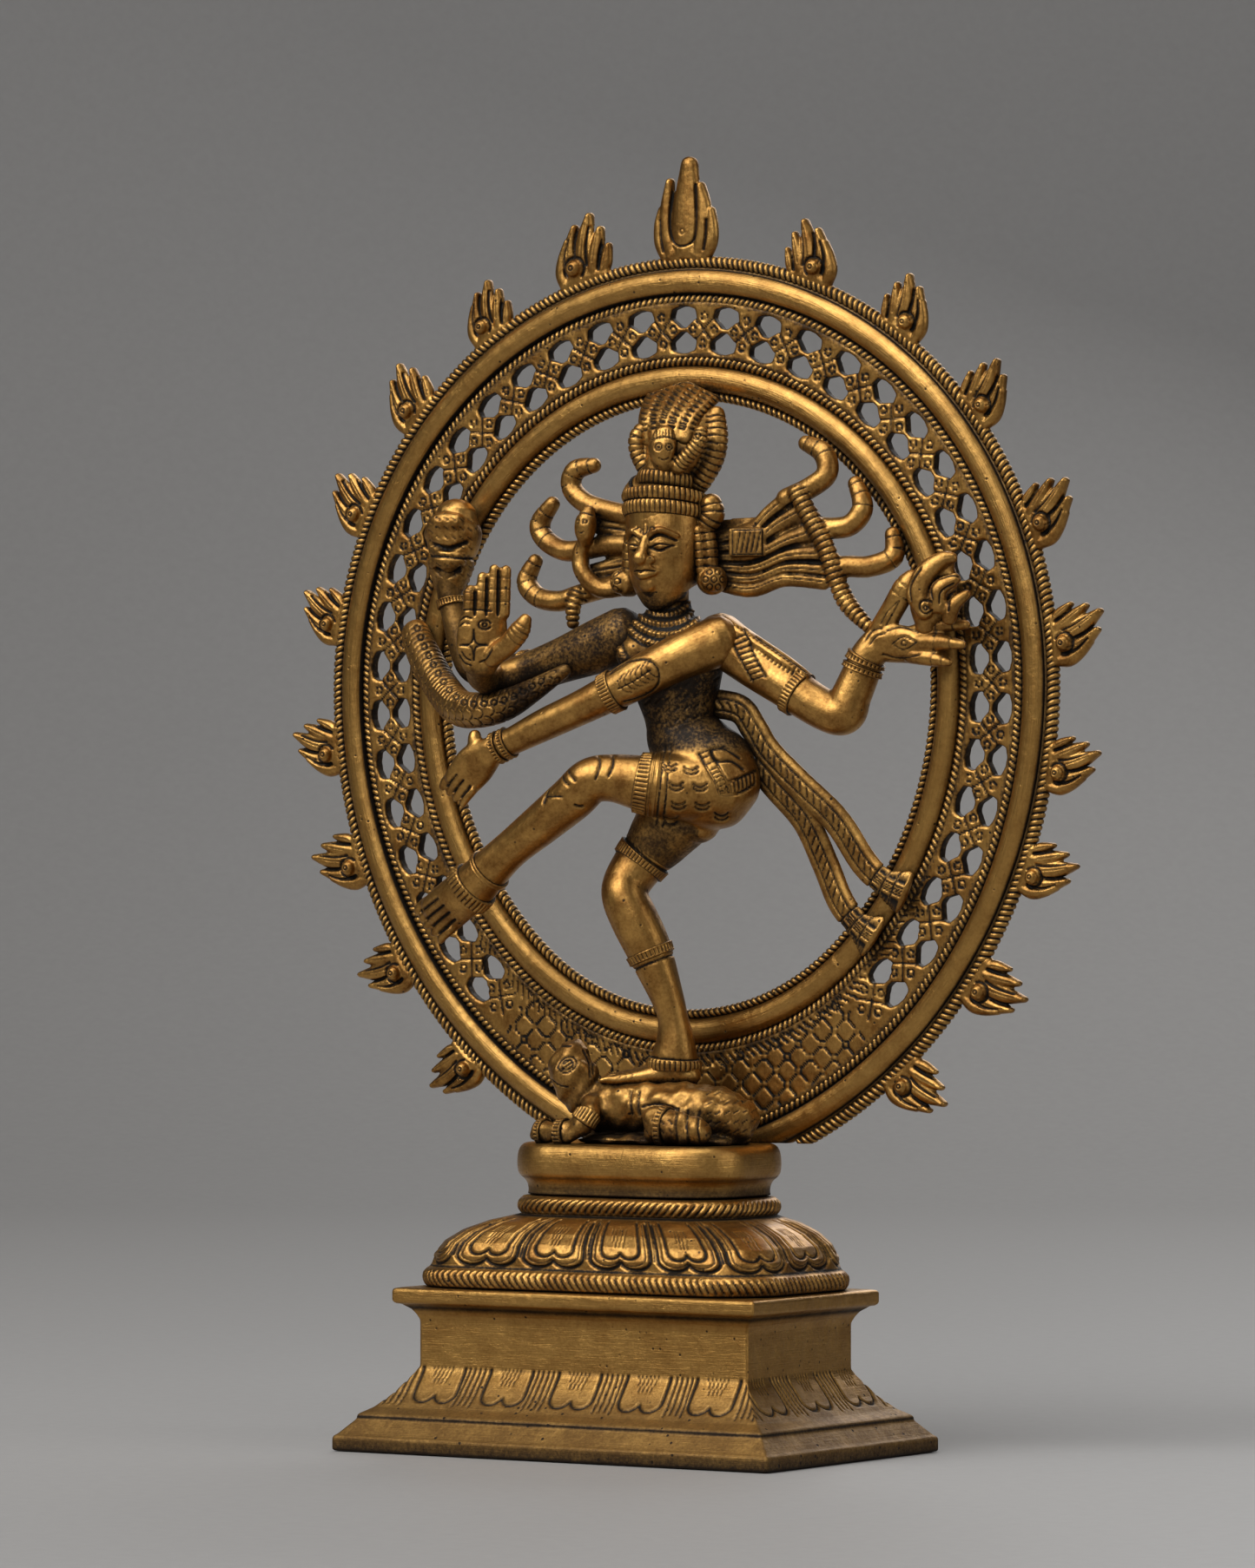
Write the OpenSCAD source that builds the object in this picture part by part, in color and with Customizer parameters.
// Cast brass dancer with four arms in a flaming aureole, on a lotus pedestal and stepped plinth.
// Sizes in mm. Origin at the middle of the underside, Z up, the dancer faces -Y.

/* [Plinth] */
// width of the bottom step
plinth_w = 119.5; // [112:0.5:128]
// depth of the bottom step
plinth_d = 75; // [70:0.5:80]
// height of the bottom step
step_h = 4; // [3:0.1:5]
// height of the riser between the step and the petal bevel
riser_h = 3.6; // [3:0.1:4.5]
// height of the petal bevel
bevel_h = 10.9; // [9:0.1:12.5]
// height of the plain neck
neck_h = 15.6; // [14:0.1:18]
// thickness of the top plate
plate_h = 3.9; // [3:0.1:5]
// how far the neck stands in from the step
neck_in = 14.6; // [13:0.1:16]
// how far the top plate stands in from the step
plate_in = 10; // [9:0.1:11]
// wall of the hollow plinth
wall = 5; // [4:0.1:6]

/* [Lotus pedestal] */
// width of the lotus dome at its foot
dome_w = 94; // [90:0.5:97]
// depth of the lotus dome at its foot
dome_d = 50; // [48:0.5:52]
// height of the dome with its two rope bands
dome_h = 21.3; // [19:0.1:24]
// width of the drum on the dome
drum_w = 60; // [57:0.5:64]
// depth of the drum on the dome
drum_d = 39; // [38:0.5:41]
// height of the drum
drum_h = 12.2; // [11:0.1:14]
// how far the drum is set back from the middle of the plinth
drum_y = 6; // [5.5:0.1:6.5]

/* [Aureole] */
// radius of the aureole over its outer rope
aureole_r = 101; // [94:0.5:108]
// half thickness of the broad rails
rail_r = 3; // [2.8:0.05:3.2]
// thickness of the pierced band
band_t = 3.2; // [2.6:0.1:3.8]
// thickness of the flames
flame_t = 4.4; // [3.8:0.1:5]
// number of squares in the upper half of the pierced band
squares = 23; // [21:2:25]

/* [Fastening] */
// diameter of the tie stud
stud_d = 6; // [5:0.5:7]
// free play of the stud in its holes, on the diameter
stud_play = 0.4; // [0.2:0.1:0.6]
// depth of the stud in the drum
stud_grip = 9; // [8:0.5:9.5]

/* [Hidden] */
$fn = 48;
brass = [0.72, 0.56, 0.28];
steel = [0.6, 0.6, 0.62];
plate_z = step_h + riser_h + bevel_h + neck_h;
dome_z = plate_z + plate_h;
drum_z = dome_z + dome_h;
top_z = drum_z + drum_h;
roof = 6;
washer_t = 1.6;
nut_t = 5;
nut_w = stud_d * 1.75;
// middle radii of the two broad rails, as drawn; every rope and band edge is laid against them
outer_r = 94.9;
rail_gap = 22.7;
inner_r = outer_r - rail_gap;
outer_rope_r = 1.6;
seam_rope_r = 1.15;
inner_rope_r = 1.1;
// how far one round runs into the next, so that they are one casting
lap = 0.1;
outer_rope = outer_r + rail_r + outer_rope_r - lap;
seam_rope = outer_r - rail_r - seam_rope_r + lap;
band_out = seam_rope - seam_rope_r + lap;
inner_rope = inner_r - rail_r - inner_rope_r + lap;
back_rope = inner_r + rail_r + inner_rope_r - lap;
band_in = back_rope + inner_rope_r + 0.3;
// the dancer and the aureole are drawn for this outer radius and follow the real one
draw_r = outer_rope + outer_rope_r;
k = aureole_r / draw_r;
ring_y = 22;
// the middle of the aureole stands this much more than the outer rail's radius above the drum
ring_rise = 11.6;
ring_z = outer_r + ring_rise;
// how far each leg of the aureole is struck from beyond the middle
leg_shift = 18;
side_shift = 14;
bottom_gain = 7;
foot_drop = sqrt(pow(side_shift + bottom_gain, 2) - pow(side_shift, 2));
foot_turn = acos(side_shift / (side_shift + bottom_gain));
pitch = 180 / squares;
// plain edge left beside each opening of the pierced band, and the opening's own reach from its middle
edge_bar = 0.8;
reach = (band_out - band_in) / 2 - edge_bar;
// openings that the pierced band has below its middle, on each side
low_openings = 7;
// hands and feet are spread flat towards a viewer who stands to the right of the front
viewer = 33.2;
toward = [-sin(viewer), cos(viewer), 0];
big = 400;

// Lofting: a limb is a list of stations [x, y, z, half width, half depth] joined by a smooth curve.
function unit(v) = v / norm(v);
function place(s) = [s[0], s[1], s[2]];
function flow(a, b, c, d, t) = 0.5 * (2 * b + (c - a) * t + (2 * a - 5 * b + 4 * c - d) * t * t
    + (3 * b - a - 3 * c + d) * t * t * t);
function spline(s, n) = let (m = len(s) - 1) [
    for (i = [0:m - 1]) for (q = [0:n - 1])
        flow(s[max(i - 1, 0)], s[i], s[i + 1], s[min(i + 2, m)], q / n),
    s[m]];
function heading(p, i) = unit(place(p[min(i + 1, len(p) - 1)]) - place(p[max(i - 1, 0)]));
function across(v, t) = unit(v - (v * t) * t);
// the depth direction is carried along the limb so that its section does not twist
function carried(p, v) = [for (i = 0, d = across(v, heading(p, 0)); i < len(p);
    i = i + 1, d = i < len(p) ? across(d, heading(p, i)) : d) d];
function section(s, t, d, grow, shift, sides) = let (w = cross(d, t)) [for (j = [0:sides - 1])
    place(s) + t * shift + w * (s[3] * grow * cos(360 * j / sides))
        + d * (s[4] * grow * sin(360 * j / sides))];
function limb_rings(p, d, sides) = let (m = len(p) - 1, a = min(p[0][3], p[0][4]), b = min(p[m][3],
    p[m][4])) [
    section(p[0], heading(p, 0), d[0], 0.55, -0.7 * a, sides),
    for (i = [0:m]) section(p[i], heading(p, i), d[i], 1, 0, sides),
    section(p[m], heading(p, m), d[m], 0.55, 0.7 * b, sides)];

module loft(rings) {
    n = len(rings[0]);
    m = len(rings) - 1;
    polyhedron(points = [for (r = rings) for (p = r) p], faces = concat(
        [[for (j = [0:n - 1]) j]],
        [[for (j = [n - 1:-1:0]) m * n + j]],
        [for (i = [0:m - 1]) for (j = [0:n - 1]) [i * n + j, (i + 1) * n + j, (i + 1) * n + (j + 1) % n]],
        [for (i = [0:m - 1]) for (j = [0:n - 1]) [i * n + j, (i + 1) * n + (j + 1) % n,
            i * n + (j + 1) % n]]),
        convexity = 8);
}

module limb(stations, sides = 10, steps = 1, depth = [0, 1, 0]) {
    p = spline(stations, steps);
    loft(limb_rings(p, carried(p, depth), sides));
}

// an even rod or strand through a list of points
module strand(points, w, d, sides = 6, steps = 2, taper = 0.6) {
    m = len(points) - 1;
    limb([for (i = [0:m]) let (g = i == m ? taper : 1) concat(points[i], [w * g, d * g])], sides, steps);
}

// one closed skin over forms that run into each other
module cast() resize([0, 0, 0]) union() children();

// everything above the drum stands on its top face
module on_drum() translate([0, 0, top_z]) scale(k) children();
module above_drum() translate([-big / 2, -big / 2, 0]) cube([big, big, big]);

// a cast piece, less the neighbours it is seated on
module seated() color(brass) on_drum() cast() difference() {
    children(0);
    if ($children > 1) children([1:$children - 1]);
}

// Plinth: a moulded profile run round four mitred sides
function moulding(half, inner) = let (e = half - inner, b = step_h + riser_h, n = b + bevel_h) [
    [e, inner > 0 ? -1 : 0], [e, step_h - 0.6], [e - 0.6, step_h],
    [e - 4.1, b - 0.2], [e - 4.1, b + 0.6], [e - 7, b + 2.6], [e - 10.3, b + 5.8], [e - 12.6, n - 2],
    [e - neck_in + 0.5, n], [e - neck_in, n + 1.4], [e - neck_in, plate_z - 4],
    [e - neck_in + 1, plate_z - 1.6], [e - neck_in + 2.6, inner > 0 ? dome_z - roof : plate_z]];
function plate_edge(half) = [[half - plate_in - 0.5, plate_z], [half - plate_in, plate_z + 0.5],
    [half - plate_in, dome_z - 0.5], [half - plate_in - 0.5, dome_z]];
function both_sides(edge) = concat(edge, [for (i = [len(edge) - 1:-1:0]) [-edge[i][0], edge[i][1]]]);

module mitred(w_edge, d_edge) intersection() {
    rotate([90, 0, 0]) linear_extrude(height = big, center = true) polygon(both_sides(w_edge));
    rotate([90, 0, 90]) linear_extrude(height = big, center = true) polygon(both_sides(d_edge));
}

module plinth() color(brass) difference() {
    mitred(concat(moulding(plinth_w / 2, 0), plate_edge(plinth_w / 2)),
        concat(moulding(plinth_d / 2, 0), plate_edge(plinth_d / 2)));
    mitred(moulding(plinth_w / 2, wall), moulding(plinth_d / 2, wall));
    translate([0, drum_y, 0]) cylinder(d = stud_d + stud_play, h = dome_z + 1);
}

// Lotus dome and drum: rounded rectangles that change from the dome's foot plan to the drum's plan
function mix(a, b, u) = a + (b - a) * u;
function plan(u, swell, z, n = 5) = let (r = mix(13, 14, u) + swell, y = mix(0, drum_y, u),
    w = mix(dome_w, drum_w, u) / 2 + swell - r, d = mix(dome_d, drum_d, u) / 2 + swell - r) [
    for (q = [0:3]) for (i = [0:n]) let (a = q * 90 + i * 90 / n)
        [(q == 0 || q == 3 ? w : -w) + r * cos(a), y + (q < 2 ? d : -d) + r * sin(a), z]];

// each level: height as a share of the piece, share of the way to the drum plan, swell
dome_levels = [[0, 0, 0.6], [0.06, 0, 1.4], [0.16, 0, 1.4], [0.21, 0, 0.3],
    [0.23, 0.01, -0.5], [0.36, 0.06, 0], [0.5, 0.19, 0.2], [0.62, 0.4, 0.2], [0.72, 0.68, 0],
    [0.78, 0.93, -0.6], [0.8, 1, -0.6], [0.84, 1, 0.2], [0.9, 1, 0.3], [0.96, 1, -0.2], [1, 1, -1.2]];
drum_levels = [[0, 1, -1.9], [0.12, 1, -2.2], [0.28, 1, -1.7], [0.36, 1, -0.6], [0.44, 1, 0],
    [0.64, 1, 0.3], [0.84, 1, 0.1], [0.94, 1, -0.5], [1, 1, -1.5]];

module lotus_dome() color(brass) difference() {
    loft([for (v = dome_levels) plan(v[1], v[2], dome_z + v[0] * dome_h)]);
    translate([0, drum_y, dome_z - 1]) cylinder(d = stud_d + stud_play, h = dome_h + 2);
}

module pedestal_drum() color(brass) difference() {
    loft([for (v = drum_levels) plan(v[1], v[2], drum_z + v[0] * drum_h)]);
    translate([0, drum_y, drum_z - 1]) cylinder(d = stud_d, h = stud_grip + 1);
}

// Hidden fastening: a stud screwed into the drum draws dome and plinth together
module tie_stud() color(steel) translate([0, drum_y, dome_z - roof - washer_t - nut_t - 2])
    cylinder(d = stud_d, h = drum_z + stud_grip - dome_z + roof + washer_t + nut_t + 2);

module washer() color(steel) translate([0, drum_y, dome_z - roof - washer_t]) difference() {
    cylinder(d = stud_d * 2.4, h = washer_t);
    translate([0, 0, -1]) cylinder(d = stud_d + stud_play, h = washer_t + 2);
}

module nut() color(steel) translate([0, drum_y, dome_z - roof - washer_t - nut_t]) difference() {
    cylinder(d = nut_w / cos(30), h = nut_t, $fn = 6);
    translate([0, 0, -1]) cylinder(d = stud_d, h = nut_t + 2);
}

// Aureole: arcs in an upright plane; its local Z points to the front
module in_ring_plane() translate([0, ring_y, ring_z]) rotate([90, 0, 0]) children();
module arc(shift, radius, from, to) translate([shift, 0, 0])
    rotate_extrude(angle = to - from, start = from) translate([radius + abs(shift), 0]) children();

module outer_path() {
    turn = acos(leg_shift / (band_out + leg_shift));
    arc(0, outer_r, 0, 180) children();
    arc(-leg_shift, outer_r, -turn, 0) children();
    arc(leg_shift, outer_r, 180, 180 + turn) children();
}

module inner_path() {
    translate([0, -foot_drop, 0]) {
        arc(0, inner_r - bottom_gain, 180 + foot_turn, 270) children();
        arc(0, inner_r - bottom_gain, 270, 360 - foot_turn) children();
    }
    arc(-side_shift, inner_r, -foot_turn, 0) children();
    arc(side_shift, inner_r, 180, 180 + foot_turn) children();
    arc(0, inner_r, 0, 180) children();
}

module outer_section() {
    circle(r = rail_r);
    translate([outer_rope - outer_r, 0]) circle(r = outer_rope_r);
    translate([seam_rope - outer_r, 0]) circle(r = seam_rope_r);
    translate([band_out - outer_r, -band_t / 2]) square([draw_r - band_out, band_t]);
}

module inner_section() {
    circle(r = rail_r);
    translate([inner_rope - inner_r, 0]) circle(r = inner_rope_r);
    translate([back_rope - inner_r, 0]) circle(r = inner_rope_r);
    translate([inner_rope - inner_r, -band_t / 4]) square([band_in - inner_rope, band_t / 2]);
}

module inner_rail_form() in_ring_plane() inner_path() inner_section();

module outer_rail() color(brass) on_drum() intersection() {
    in_ring_plane() outer_path() outer_section();
    above_drum();
}

module inner_rail() color(brass) on_drum() inner_rail_form();

// area inside a ring edge that is struck from the middle above and from beyond the middle below
module within(r, shift, drop, gain) {
    circle(r = r);
    intersection() {
        translate([-shift, 0]) circle(r = r + shift);
        translate([shift, 0]) circle(r = r + shift);
        union() {
            translate([0, -drop]) circle(r = r - gain);
            low = (r + shift) * sin(foot_turn);
            translate([-r, gain > 0 ? -low : -2 * r]) square([2 * r, gain > 0 ? low : 2 * r]);
        }
    }
}

function edge_at(a, r, shift) = sin(a) >= 0 ? r :
    sqrt(pow(r + shift, 2) - pow(shift * sin(a), 2)) - shift * abs(cos(a));
function band_mid(a) = (edge_at(a, band_out, leg_shift) + edge_at(a, band_in, side_shift)) / 2;

// two openings back to back leave the crossing bars between engraved squares
module piercing() for (s = [1, -1]) scale([1, s])
    polygon([for (p = [[-0.9, 0.15], [0.9, 0.15], [3.4, 0.57], [2.9, 0.87], [1, 1], [-1, 1], [-2.9, 0.87],
        [-3.4, 0.57]]) [p[0], p[1] * reach]]);

module lattice_band() color(brass) on_drum() in_ring_plane()
    linear_extrude(height = band_t, center = true) difference() {
        intersection() {
            within(band_out, leg_shift, 0, 0);
            translate([-big / 2, -ring_z]) square([big, big]);
        }
        within(band_in, side_shift, foot_drop, bottom_gain);
        for (i = [-low_openings:squares + low_openings - 1]) let (a = (i + 0.5) * pitch)
            rotate(a - 90) translate([0, band_mid(a)]) piercing();
    }

// a flame: broad leaf with two side tongues and a taller middle one
module flame(w, h) polygon([[-0.7 * w, -3], [0.7 * w, -3], [0.72 * w, 0], [w, 0.3 * h],
    [0.98 * w, 0.52 * h],
    [0.86 * w, 0.72 * h], [0.62 * w, 0.58 * h], [0.5 * w, 0.7 * h], [0.3 * w, 0.88 * h], [0.1 * w, h],
    [-0.14 * w, 0.84 * h], [-0.32 * w, 0.72 * h], [-0.55 * w, 0.82 * h], [-0.78 * w, 0.62 * h],
        [-w, 0.34 * h],
    [-0.74 * w, 0]]);

flame_step = 16.1;
flame_lean = 10;

module flame_tongues() color(brass) on_drum() in_ring_plane() for (side = [-1, 1]) for (i = [0:8])
    let (a = 71.4 - i * flame_step) linear_extrude(height = flame_t, center = true) difference() {
        scale([side, 1]) rotate(a - 90) translate([0, edge_at(a, draw_r, leg_shift)])
            rotate(flame_lean * cos(a)) flame(5.6, 13);
        translate([a < 0 ? -side * leg_shift : 0, 0]) circle(r = draw_r + (a < 0 ? leg_shift : 0),
            $fn = 96);
    }

module crown_flame() color(brass) on_drum() in_ring_plane() linear_extrude(height = flame_t, center = true)
    difference() {
        union() {
            translate([0, draw_r]) flame(8.4, 19);
            translate([0, draw_r + 2]) polygon([[-3.4, 0], [3.4, 0], [4, 8], [2.2, 14], [0, 22],
                [-2.2, 14], [-4, 8]]);
        }
        circle(r = draw_r, $fn = 96);
    }

// Stations of the dancer, measured from the middle of the drum's top face
standing = [[5.8, 7, 75, 8.4, 8], [2, 6, 70, 6.9, 6.8], [-1.8, 4.5, 65, 6.1, 6.1], [-3.6, 2, 60.4, 5.6, 5.6],
    [-3, 0.4, 57, 5.4, 5.5], [-0.9, 1.2, 52, 5.6, 5.7], [1.9, 3, 45, 5.3, 5.5], [5.8, 4.8, 34, 3.9, 4.1],
    [7, 5.4, 29, 3.6, 3.8], [7.3, 6, 24, 4.5, 4.6], [6.9, 6.2, 19.5, 5.6, 5.2]];
standing_foot = [[11.5, 6.8, 15.8, 2.2, 2.8], [6.5, 5.2, 16.4, 3, 3.8], [0, 2.6, 15.6, 2.2, 4],
    [-4.6, 0.4, 15, 1.7, 3.8], [-6.6, -0.6, 14.8, 1.4, 3.6]];
raised = [[20, 5, 83, 7.6, 7.6], [13, 0.5, 82.7, 7.5, 7.5], [5.9, -4, 83.5, 6.7, 6.7],
    [-1, -7.5, 84.8, 5.6, 5.8], [-6, -9.5, 84.2, 5.4, 5.5], [-10.8, -10, 80.2, 5.4, 5.4],
    [-20, -10, 73.8, 4.9, 5], [-29.2, -9.6, 67.6, 4.5, 4.7], [-38.9, -9, 60, 5.5, 5.2]];
raised_foot = [[-38.9, -9, 60, 5.4, 4.8], [-45.2, -8.6, 55.8, 5.6, 3.2], [-48.4, -8.2, 53.7, 5.6, 2.4],
    [-50.7, -8, 52.2, 5.2, 1.8]];
hip_block = [[12.5, 7, 74.6, 5.5, 6], [13.2, 7, 77, 10.5, 9], [13.5, 7, 80, 13.6, 10.3],
    [13.7, 7, 84, 15, 10.6], [13.2, 7, 88, 13.4, 9.8], [11.6, 7, 91, 10.4, 8.8], [8.8, 7, 94.6, 8.9, 7.8],
    [8.6, 7, 97, 8.5, 7.4]];
trunk = [[8.6, 7, 94, 8.4, 7.4], [8.2, 7, 99, 8.8, 7.6], [7.6, 6.8, 104, 10.2, 8.2],
    [7, 6.4, 110, 12.4, 8.8], [6.4, 6.4, 115, 14, 8.8], [5.6, 6.6, 118.5, 13.6, 8],
    [5.4, 7, 121.5, 9, 6.5], [5.6, 7, 123.5, 5, 5]];
skull = [[5.6, 7, 121, 4.6, 4.6], [5.4, 6.6, 125, 4.4, 4.6], [5.2, 5.6, 127.6, 5.4, 6.8],
    [5, 5.6, 131, 7.6, 8.6], [5, 5.8, 136, 8.8, 9.4], [5, 6, 141, 9.2, 9.6], [5, 6.2, 146, 9, 9.4],
    [5, 6.4, 151, 8, 8.4], [5, 6.5, 154, 5, 5]];
front_left = [[20, 5, 116.6, 6, 6], [14, 1, 113.6, 5.6, 5.6], [8, -2.5, 110.4, 5.2, 5.2],
    [2, -5, 107, 4.8, 4.8], [-9, -7, 101.8, 4.1, 4.1], [-19.8, -8, 97.4, 3.8, 3.8],
    [-28, -8.7, 93.8, 3.3, 3.3], [-33, -9, 91.8, 3.2, 3.1]];
hanging_hand = [[-33.4, -9.2, 91.8, 3.3, 2.9], [-38.2, -9.2, 88.4, 4.9, 2.5], [-41.7, -9.4, 84.8, 4.6, 1.9],
    [-43, -9.5, 83.2, 4.2, 1.5]];
front_right = [[-6, 4.6, 118.4, 6.6, 6], [-13, 3.4, 115.6, 6.3, 5.6], [-22, 1.8, 112.4, 5.3, 5],
    [-31, 0, 109.4, 4.7, 4.5], [-36, -3.4, 108, 4.1, 4.1], [-36.4, -9, 108.6, 3.6, 3.6],
    [-34.8, -13, 110, 3.2, 3.2], [-33.4, -15.6, 112, 3, 3]];
open_palm = [[-33.7, -15.7, 110.8, 3.2, 2.6], [-32.9, -16.6, 114.2, 4.6, 2.4], [-32.1, -17, 119, 5, 2.1],
    [-31, -17.2, 123.8, 4.6, 1.8]];
rear_left = [[18, 8, 117.4, 6, 6], [27, 8, 111.6, 5.6, 5.4], [38, 8.4, 105, 5, 5], [46, 9.4, 100.4, 4.8, 4.8],
    [50.6, 10.2, 99.6, 5, 4.9], [52.2, 10.8, 103.4, 4.7, 4.7], [54.2, 11.6, 108.4, 4.4, 4.4],
    [55.8, 12, 112.4, 4.1, 4.1], [57.6, 12.3, 114.6, 4.1, 3.8]];
holding_hand = [[56.6, 12.1, 113.6, 3.8, 3.4], [59, 12.4, 115.4, 4.4, 3.2], [63, 12.6, 115.6, 4.7, 2.9],
    [68.6, 13, 114.8, 4.2, 2.4]];
rear_right = [[-6, 8, 117, 5, 5.2], [-20, 9, 113.2, 4.4, 4.6], [-33, 9.8, 111.2, 4.1, 4.2],
    [-45, 10, 110.4, 4, 4.1], [-52, 10.2, 111.5, 4, 4], [-55.6, 10.6, 117, 3.6, 3.6],
    [-58.4, 11, 124, 3.1, 3.1], [-60, 11.4, 129.5, 3, 3.2], [-60.2, 11.8, 134, 3.4, 3.6]];

module sole() translate([0, 0, -big]) above_drum();
module behind() translate([0, big / 2 + ring_y - rail_r - outer_rope_r, -1]) above_drum();
module standing_form() {
    limb(standing);
    limb(standing_foot, 8);
}
module raised_form() {
    limb(raised);
    limb(raised_foot, 8, 1, toward);
    for (i = [-2:2]) strand([[-49.5 - i * 1.68, -8, 53 + i * 1.7],
        [-53.6 - i * 1.68, -7.8, 50.4 + i * 1.7]], 1.2, 1.2, 4, 1, 0.8);
}
// the shorts cover both thighs as far as their hems
function sleeve(s, n, grow) = [for (i = [0:n]) [s[i][0], s[i][1], s[i][2], s[i][3] + grow, s[i][4] + grow]];
module hip_form() {
    limb(hip_block, 12);
    limb(sleeve(raised, 2, 0.4));
    limb(sleeve(standing, 1, 0.4));
}
module trunk_form() limb(trunk, 14);
module skull_form() limb(skull, 12);
module front_left_form() {
    limb(front_left);
    limb(hanging_hand, 8, 1, toward);
    for (i = [-1.5:1.5]) strand([[-42 - i * 1.95, -9.4, 84.2 + i * 1.34],
        [-44.9 - i * 1.95, -9.4, 81.4 + i * 1.34]], 1.1, 1.2, 4, 1, 0.8);
    strand([[-37.4, -9.6, 90.4], [-38.4, -9.8, 95]], 1.9, 1.8, 6, 1, 0.9);
}
finger_tops = [128.8, 131.8, 133.6, 133.4];
module front_right_form() {
    limb(front_right);
    limb(open_palm, 8, 1, toward);
    for (i = [0:3]) strand([[-33.5 + i * 2.28, -19.4 + i * 1.5, 123],
        [-33.3 + i * 2.28, -19.4 + i * 1.5, 127.6],
        [-33 + i * 2.28, -19.2 + i * 1.5, finger_tops[i]]], 1.5, 1.4, 4, 1, 0.8);
    strand([[-29.2, -16.6, 113], [-24.4, -16.6, 115.8], [-20.8, -16.8, 119.2], [-19.2, -16.8, 121.8]],
        2.6, 2.1, 6, 1, 0.6);
}
module rear_left_form() {
    limb(rear_left);
    limb(holding_hand, 8, 1, toward);
    strand([[67.3, 12.2, 112.4], [75.7, 12, 111.2], [79.6, 12.1, 111.6]], 1.6, 1.6, 6, 1, 0.7);
    strand([[67.7, 12.1, 115.2], [76.3, 11.9, 115.7], [81.8, 12.4, 115.9]], 1.9, 1.8, 6, 1, 0.8);
    strand([[66.8, 12.7, 117.3], [74.1, 13, 119.7], [81.6, 14, 120.7]], 1.7, 1.7, 6, 1, 0.8);
    strand([[57.6, 12, 117.6], [61.4, 11.6, 123], [64.2, 11.4, 128.4], [65.8, 11.6, 130.8]],
        2.3, 2, 6, 1, 0.6);
}
module rear_right_form() limb(rear_right);

module torso() seated() trunk_form();
module hips() seated() {
    hip_form();
    trunk_form();
}
module standing_leg() seated() {
    standing_form();
    hip_form();
}
module raised_leg() seated() {
    raised_form();
    hip_form();
    standing_form();
}
module head() seated() {
    union() {
        skull_form();
        strand([[4.8, -2.6, 139], [4.6, -5, 134.6]], 1.2, 1.2, 6, 1, 1);
    }
    trunk_form();
}
module front_left_arm() seated() {
    front_left_form();
    trunk_form();
}
module front_right_arm() seated() {
    front_right_form();
    trunk_form();
}
module rear_left_arm() seated() {
    rear_left_form();
    trunk_form();
    front_left_form();
    inner_rail_form($fn = 40);
}
module rear_right_arm() seated() {
    rear_right_form();
    trunk_form();
    front_right_form();
}

// Headdress: two ribbed bands, a waist, a small mask and a rearing cobra
module headdress_form() {
    limb([[4.6, 6.2, 143.4, 9.4, 9.7], [4.6, 6.2, 144.8, 10.1, 10.3], [4.6, 6.2, 147.6, 10.2, 10.4],
        [4.6, 6.2, 148.4, 9.7, 9.9], [4.6, 6.2, 149.8, 10.4, 10.6], [4.6, 6.2, 151.4, 9.4, 9.6],
        [5.2, 5.8, 152.6, 7.2, 7.4], [5.6, 5.6, 155.4, 7, 7], [5.8, 5.8, 156.8, 6.6, 6.4],
        [6.6, 6.4, 160, 8, 6], [7.4, 7, 164, 9.6, 5.4], [7, 8, 167, 9.6, 4.6]], 10, 1);
    limb([[8, 0.2, 157, 1.8, 1.6], [8, -0.6, 159.4, 3.2, 2.2], [8, -0.6, 162, 3.7, 2.4],
        [8, 0.2, 164.8, 2.6, 2]], 7, 1);
    strand([[11.4, 0.8, 156.8], [14.2, 0.6, 159.4], [16.8, 1.2, 162.4], [17.2, 1.6, 165]],
        1.9, 1.8, 7, 1, 0.9);
    // curled hair ends on each side of the mask, and the knot over the ear
    strand([[12.7, 8, 153.4], [16.4, 8, 158.6], [17.6, 8, 164], [16.4, 9.4, 169.4]], 2.6, 2.6, 6, 1, 0.8);
    strand([[1.4, 2.2, 157], [-0.6, 2.2, 160.6], [-0.8, 2.4, 164.4], [0.8, 4.8, 167.6]], 2.1, 2, 6, 1, 0.8);
    limb([[15.4, 7.2, 144, 2.6, 2.6], [16.6, 7.4, 146, 3, 2.8], [16.2, 7.4, 148.6, 2.6, 2.6]], 7, 1);
}
module headdress() seated() {
    headdress_form();
    skull_form();
}
module fan_form() {
    for (i = [-3:3]) strand([[6.6 + i * 2.2, 6.2, 164.4], [5.2 + i * 2.8, 11, 170.8 - abs(i) * 0.3],
        [3.3 + i * 3, 16.4, 176.2 - abs(i) * 0.6]], 1.9, 1.7, 4, 1, 1);
    limb([[3.4, 15.4, 172.6, 8.6, 1.8], [3.2, 17.4, 175.6, 9.2, 2], [3, 18.6, 178, 8.6, 1.8]], 8, 1);
}
module feather_fan() seated() {
    fan_form();
    headdress_form();
    inner_rail_form($fn = 40);
}

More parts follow.
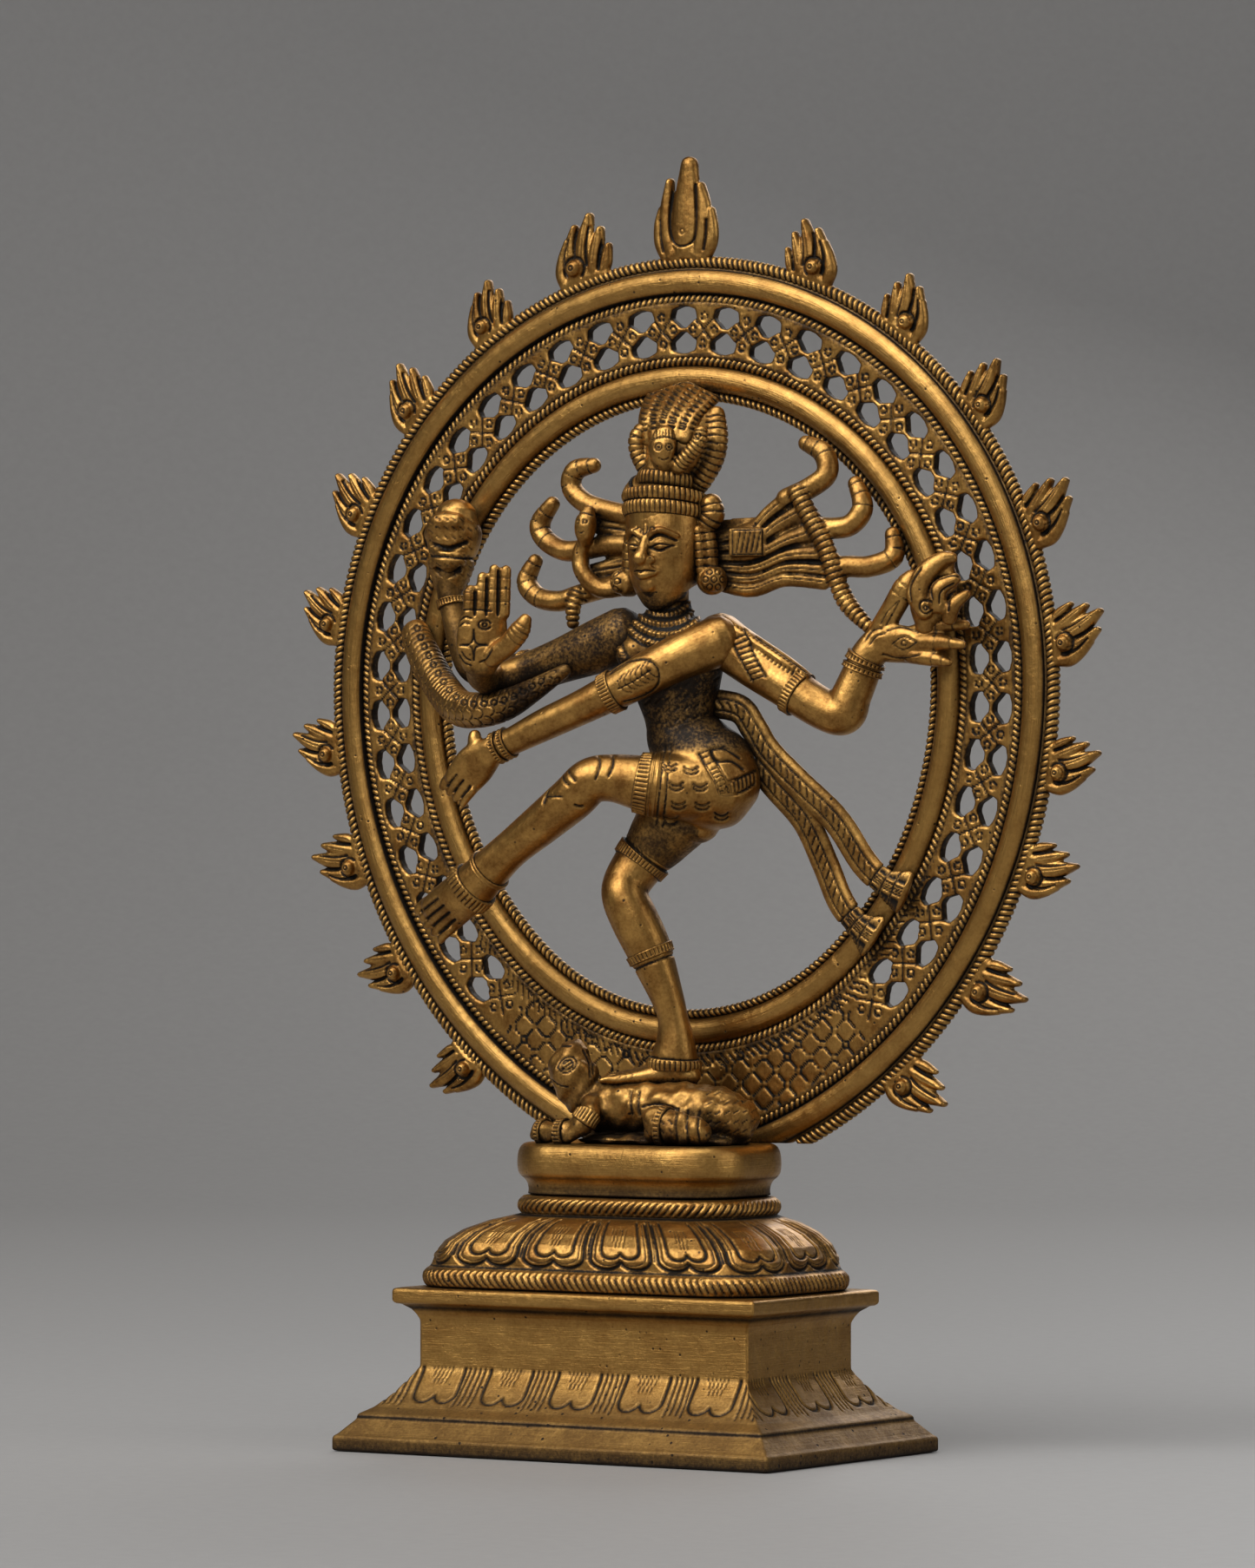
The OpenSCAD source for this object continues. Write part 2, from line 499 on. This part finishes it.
// Hair streams out to both sides behind the head
lock_w = 2.2;
module hair_right_form() {
    strand([[-1, 10.6, 144.9], [-16.5, 10.6, 148.2], [-22.4, 10.8, 150.6], [-25.2, 11.1, 154],
        [-23.8, 11.2, 157.5], [-18.9, 11.5, 158.5]],
        lock_w, lock_w);
    strand([[-1, 10.1, 138.9], [-12.7, 10.4, 139.7], [-21.5, 10.4, 138.6], [-27.1, 10.3, 138.7],
        [-32.6, 10.9, 141.6], [-34.1, 11.4, 145.3],
        [-30.4, 11.2, 149.8]], lock_w, lock_w);
    strand([[-0.7, 10.7, 133.1], [-11.5, 10.1, 130.4], [-21.8, 10.3, 128.2], [-27.8, 10.2, 126.7],
        [-34.3, 10.7, 127.8], [-37.9, 11.3, 131.5],
        [-35.6, 11.7, 136.4]], lock_w, lock_w);
    strand([[-1.3, 10.7, 142], [-12, 11.1, 143.4], [-21, 10.7, 144.6]], 2.4, 1.6, 6, 1);
    strand([[-1.3, 11, 135.9], [-12, 11.1, 134.3], [-22, 10.7, 133.2]], 2.6, 1.6, 6, 1);
    // small figure riding on the locks
    strand([[-9.5, 9.7, 129.6], [-15, 8.1, 129.3], [-19.2, 7.3, 133.1], [-20.2, 7.6, 137.3],
        [-18.7, 7, 141.2]], 1.6, 1.6);
    limb([[-18.4, 6.8, 142, 1.4, 1.4], [-17.8, 6.4, 145, 2.6, 2.2], [-17.4, 6.8, 148, 1.6, 1.4]], 8, 1);
    strand([[-21.4, 8.5, 128.7], [-22.4, 7.8, 125.1], [-22.6, 8, 121.2]], 1.8, 1.6);
}
module hair_right() seated() {
    hair_right_form();
    skull_form();
    headdress_form();
    rear_right_form();
    front_right_form();
}
strands_left = [[[141.9, 146.3, 151], [24.6, 30.4, 36.5]], [[139.3, 143.6, 147.1], [25.3, 32.8, 39.8]],
    [[136.3, 139.7, 141.6], [25.7, 35.2, 41.7]], [[133.2, 136.1, 136.4], [25.3, 35.2, 44.1]],
    [[130.6, 133.1, 132.4], [24.8, 35.1, 45.7]], [[128.6, 130.9, 130], [24.3, 34, 44.5]]];
module hair_left_form() {
    for (s = strands_left) strand([[10, 10.4, mix(s[0][0], 136, 0.5)], [s[1][0], 10.6, s[0][0]],
        [s[1][1], 11, s[0][1]],
        [s[1][2], 12, s[0][2]]], 2, 1.5, 5, 1, 1);
    strand([[33.9, 12, 149.3], [39.7, 13, 151.8], [43.8, 14, 155.1], [42.2, 15, 159.8],
        [37.3, 15, 162.3]], lock_w, lock_w, 5);
    strand([[39.2, 13, 143.1], [44.9, 14, 142.4], [49.7, 15, 143.2], [52.2, 16, 147.3],
        [49.6, 17, 152.8]], lock_w, lock_w, 5);
    strand([[42.7, 13, 133], [49.2, 14, 133.5], [54.3, 15.8, 133.5], [59, 18.4, 135.8],
        [58.4, 19, 141]], lock_w, lock_w, 5);
    strand([[37.9, 10.5, 150.7], [41.1, 11, 145], [45.1, 11.5, 137.6], [47.6, 12, 130.5],
        [50.5, 12.5, 124.5], [57, 12.4, 118.6]],
        1.9, 1.9, 6, 1);
    // engraved block that clasps the strands
    translate([25, 9.8, 139.4]) rotate([0, 0, 16]) cube([8.2, 5, 6.4], center = true);
}
module hair_left() seated() {
    hair_left_form();
    skull_form();
    headdress_form();
    rear_left_form();
    inner_rail_form($fn = 40);
}
module ear_ornaments() seated() {
    for (s = [1, -1]) {
        strand([[5 + s * 10, 7, 142.6], [5 + s * 11, 7.2, 138], [5 + s * 11, 7.2, 132.6]], 1.6, 1.7, 6, 1, 1);
        strand([[5 + s * 9.2, 5, 142.4], [5 + s * 9.8, 5, 138], [5 + s * 10, 5.4, 133]], 1.1, 1.2, 6, 1, 1);
        translate([5 + s * 11.6, 7.2, 130.8]) rotate([90, 0, s * 40]) cylinder(r = 3.5, h = 3.4,
            center = true, $fn = 16);
    }
    skull_form();
    headdress_form();
    hair_left_form();
    hair_right_form();
}

// Things held, worn and trodden on
drum_shape = [[-60.6, 12.2, 131.6, 4, 3.8], [-60.4, 12.4, 134.6, 5.4, 5], [-60.2, 12.5, 138, 5.7, 5.3],
    [-59.8, 12.6, 141, 6.6, 6], [-59.5, 12.8, 144.4, 6.8, 6], [-59.2, 13, 147.4, 5.2, 4.8]];
module hand_drum() seated() {
    limb(drum_shape, 12);
    rear_right_form();
    inner_rail_form($fn = 40);
}
module hand_flame() seated() {
    union() {
        limb([[71.5, 12.8, 119.6, 3, 3], [72, 13, 123, 5.2, 4.4], [73, 13.2, 127.6, 6.2, 4.8],
            [74.4, 13.6, 131.6, 4.8, 4], [75.2, 13.8, 133.8, 2.8, 2.6]], 8);
        for (i = [0:2]) strand([[70.9 + i * 3.8, 9.6, 122.4], [71.8 + i * 4.4, 9.2, 127.2 - i * 0.4],
            [75 + i * 3.2, 10.4, 131.6 - i * 1.4]], 1.9, 1.7, 6, 1);
    }
    rear_left_form();
    inner_rail_form($fn = 40);
}
module arm_snake() seated() {
    limb([[-17.5, -3, 110, 1.6, 1.6], [-25, -5.4, 105.4, 2.8, 2.8], [-32, -6, 102.2, 3.7, 3.7],
        [-40, -4.6, 101, 4.2, 4.1], [-49.8, 0.4, 101.8, 4.4, 4.3], [-60, 7.6, 107, 4.5, 4.1],
        [-68.5, 13, 114.4, 4.5, 3.8], [-73.4, 16.4, 119.8, 3.9, 3.4]]);
    front_right_form();
    rear_right_form();
    inner_rail_form($fn = 40);
}
sash_w = 3;
module sash_tails() seated() {
    union() {
        strand([[13.2, 9, 102.4], [22.1, 10, 101], [25.8, 10.6, 96.5], [28.5, 11.2, 92], [31.7, 11.8, 88.4],
            [37.6, 12.6, 83], [46.2, 14.2, 75], [51.9, 16.6, 65.5], [56.3, 18, 60.6], [60.6, 19.2, 58]],
            sash_w, 1.4, 6, 1, 1.3);
        strand([[26.5, 11.6, 88], [30.7, 12.4, 83], [37.8, 14, 75], [41.8, 16.4, 65], [45, 18, 56.5],
            [49.2, 18.8, 51], [51.8, 19.2, 48.4]], sash_w, 1.4, 6, 1, 1.4);
    }
    hip_form();
    trunk_form();
    inner_rail_form($fn = 40);
}
module dwarf_form() {
    limb([[-9, 0, 8.4, 6, 5.4], [-3, 1.6, 8.6, 6.2, 7], [5, 3, 8.4, 6.2, 8], [13, 4, 7.8, 6.4, 8.4],
        [20, 4.6, 6.8, 6.4, 8], [24.6, 4.8, 6, 5.4, 7]]);
    limb([[-13.6, -1.4, 10.4, 4.4, 4.4], [-15.4, -2, 14.6, 5.6, 5.2], [-16, -2.2, 18.4, 5.6, 5.2],
        [-15.6, -2, 21, 3.8, 3.6]]);
    for (s = [-1, 1]) {
        strand([[-9, s * 5 + 1, 9.4], [-8, s * 9.4 + 1, 6.2], [-11, s * 10.6 + 1, 3],
            [-21, s * 10 + 1, 2.8]], 2.8, 2.5, 6, 1, 0.9);
        limb([[10.5, s * 9.2 + 2, 4.8, 4.4, 3.6], [16, s * 9.2 + 2, 4.2, 3.8, 3.4],
            [22, s * 8.8 + 2, 3.4, 3.2, 3]], 7);
    }
}
module dwarf() seated() {
    dwarf_form();
    sole();
    standing_form();
    behind();
}

// Rings worn on wrists, arms, thighs, shins and ankles: a collar lofted out from the limb's own skin
function skin_at(s, d, t, grow) = let (i = floor(t), u = t - i, c = mix(place(s[i]), place(s[i + 1]), u),
    a = section(s[i], heading(s, i), d[i], 1, 0, 10), b = section(s[i + 1], heading(s, i + 1), d[i + 1],
        1, 0, 10))
    [for (j = [0:9]) let (p = mix(a[j], b[j], u)) p + unit(p - c) * grow];
module ring_on(s, at, width, grow = 0.9) {
    d = carried(s, [0, 1, 0]);
    v = width * 0.3;
    rings = [skin_at(s, d, at - v, grow), skin_at(s, d, at + v, grow),
        skin_at(s, d, at + width / 2, 0), skin_at(s, d, at - width / 2, 0)];
    polyhedron(points = [for (r = rings) for (p = r) p],
        faces = [for (i = [0:3]) for (j = [0:9]) for (h = [0, 1])
        let (q = (i + 1) % 4, n = (j + 1) % 10) [i * 10 + j, q * 10 + (h == 0 ? j : n),
            h == 0 ? q * 10 + n : i * 10 + n]]);
}
module bangles() color(brass) on_drum() {
    cast() ring_on(standing, 1.85, 0.5);
    cast() ring_on(standing, 6.1, 0.36, 0.7);
    cast() ring_on(standing, 9.7, 0.5);
    cast() ring_on(raised, 2.3, 0.4);
    cast() ring_on(raised, 7.65, 0.3);
    cast() ring_on(front_left, 3.45, 0.25);
    cast() ring_on(front_left, 6.5, 0.6, 0.7);
    cast() ring_on(rear_left, 2.1, 0.3);
    cast() ring_on(rear_left, 6.5, 0.7, 0.7);
    cast() ring_on(rear_right, 2.3, 0.3);
    cast() ring_on(rear_right, 6.5, 0.5, 0.7);
}

plinth();
lotus_dome();
pedestal_drum();
tie_stud();
washer();
nut();
outer_rail();
inner_rail();
lattice_band();
flame_tongues();
crown_flame();
dwarf();
standing_leg();
raised_leg();
hips();
torso();
head();
headdress();
feather_fan();
ear_ornaments();
hair_right();
hair_left();
front_right_arm();
front_left_arm();
rear_right_arm();
rear_left_arm();
hand_drum();
hand_flame();
arm_snake();
sash_tails();
bangles();
